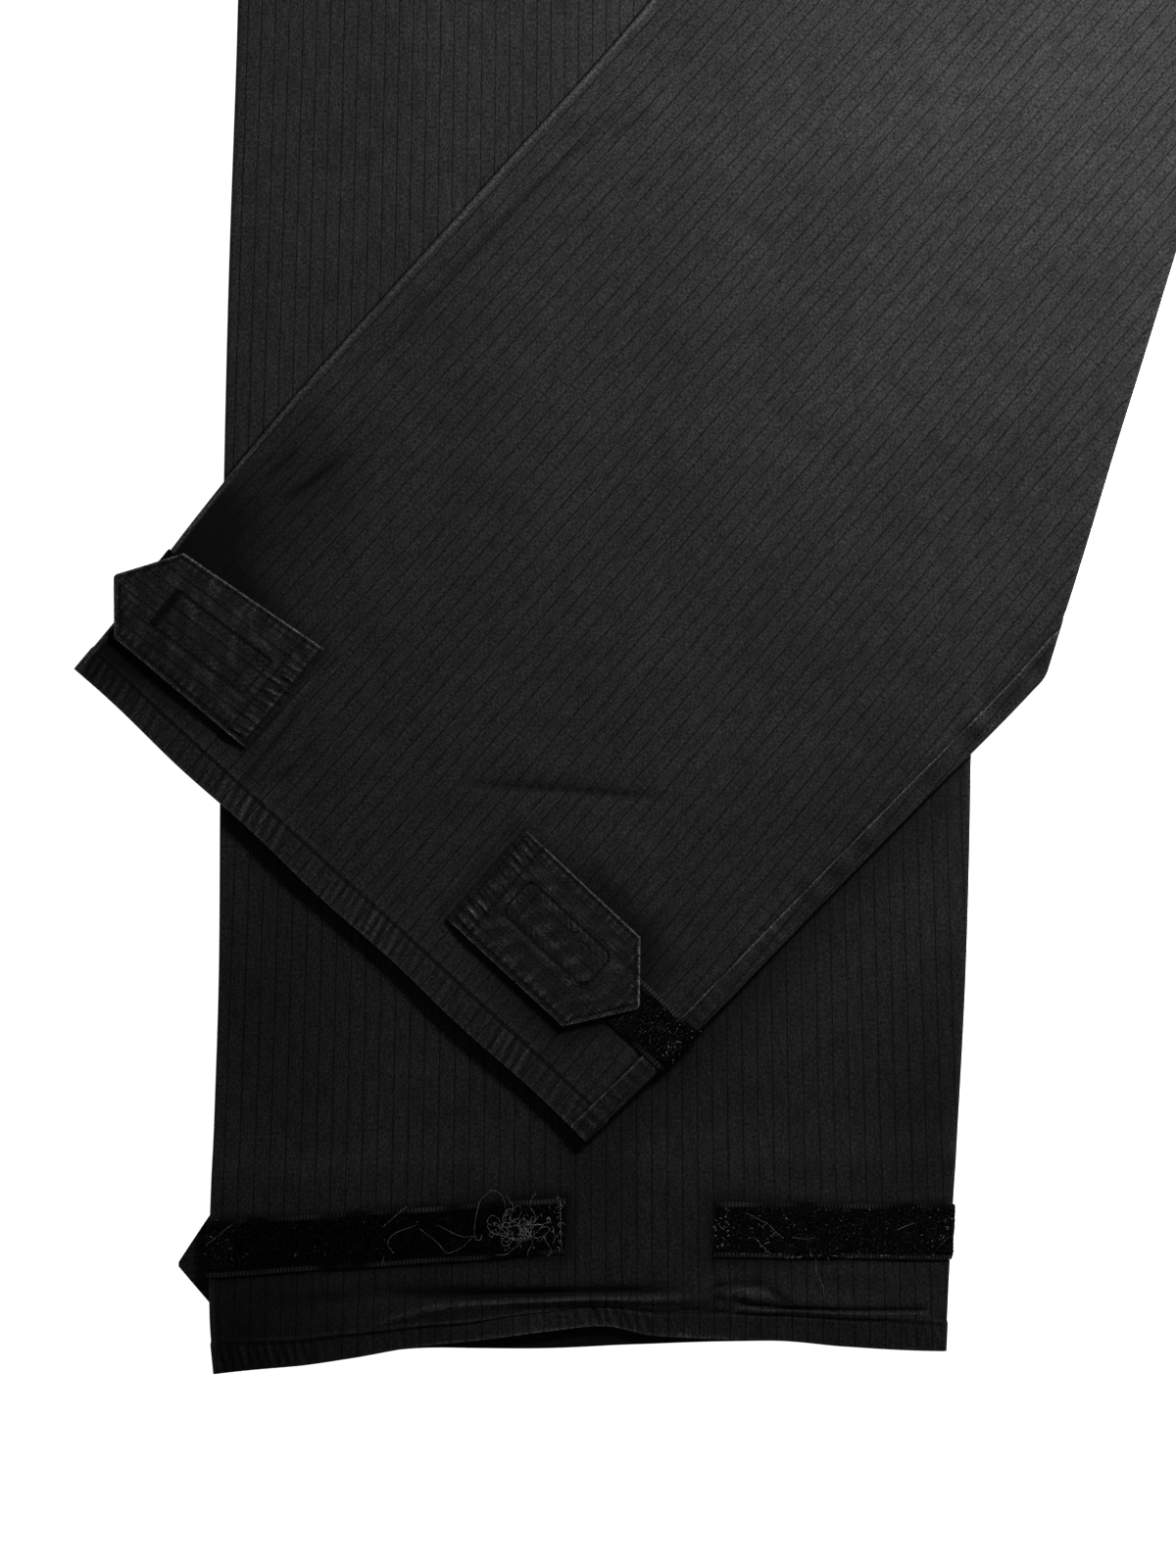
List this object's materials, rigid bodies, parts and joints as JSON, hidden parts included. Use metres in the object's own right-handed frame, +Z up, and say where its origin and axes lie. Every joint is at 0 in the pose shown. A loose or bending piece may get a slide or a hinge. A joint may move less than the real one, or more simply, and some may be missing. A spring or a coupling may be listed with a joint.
{
  "type": "wide-leg trousers",
  "caption": "Wide-leg striped cotton trousers lying flat, one leg straight and one folded across it, with pointed hem tabs and loop tapes.",
  "frame": {"origin": "middle of the bounding box's bottom face, on the surface the trousers lie on", "axes": "+Z up from that surface, +Y from the hems towards the waist, +X towards the wearer's left hip, which the front-up layout puts on the right"},
  "size_m": [0.6442, 1.08, 0.0122],
  "materials": {
    "right_front": "matt striped cotton twill",
    "right_back": "matt striped cotton twill",
    "left_front": "matt striped cotton twill",
    "left_back": "matt striped cotton twill",
    "waistband_back": "matt striped cotton twill",
    "waistband_front_right": "matt striped cotton twill",
    "waistband_front_left": "matt striped cotton twill",
    "button": "satin black plastic",
    "right_tab_outer": "matt cotton twill, worn at the edges",
    "right_hook_outer": "black hook tape",
    "right_tab_inner": "matt cotton twill, worn at the edges",
    "right_hook_inner": "black hook tape",
    "left_tab_outer": "matt cotton twill, worn at the edges",
    "left_hook_outer": "black hook tape",
    "left_tab_inner": "matt cotton twill, worn at the edges",
    "left_hook_inner": "black hook tape",
    "right_loop_outer": "fuzzy black loop tape with lint",
    "right_loop_inner": "fuzzy black loop tape with lint",
    "left_loop_outer": "fuzzy black loop tape with lint",
    "left_loop_inner": "fuzzy black loop tape with lint"
  },
  "bodies": {
    "root": {"right_front": "right_front", "right_back": "right_back", "left_front": "left_front", "left_back": "left_back", "waistband_back": "waistband_back", "waistband_front_right": "waistband_front_right", "waistband_front_left": "waistband_front_left", "button": "button", "right_tab_outer": "right_tab_outer", "right_hook_outer": "right_hook_outer", "right_tab_inner": "right_tab_inner", "right_hook_inner": "right_hook_inner", "left_tab_outer": "left_tab_outer", "left_hook_outer": "left_hook_outer", "left_tab_inner": "left_tab_inner", "left_hook_inner": "left_hook_inner", "right_loop_outer": "right_loop_outer", "right_loop_inner": "right_loop_inner", "left_loop_outer": "left_loop_outer", "left_loop_inner": "left_loop_inner"}
  },
  "joints": []
}
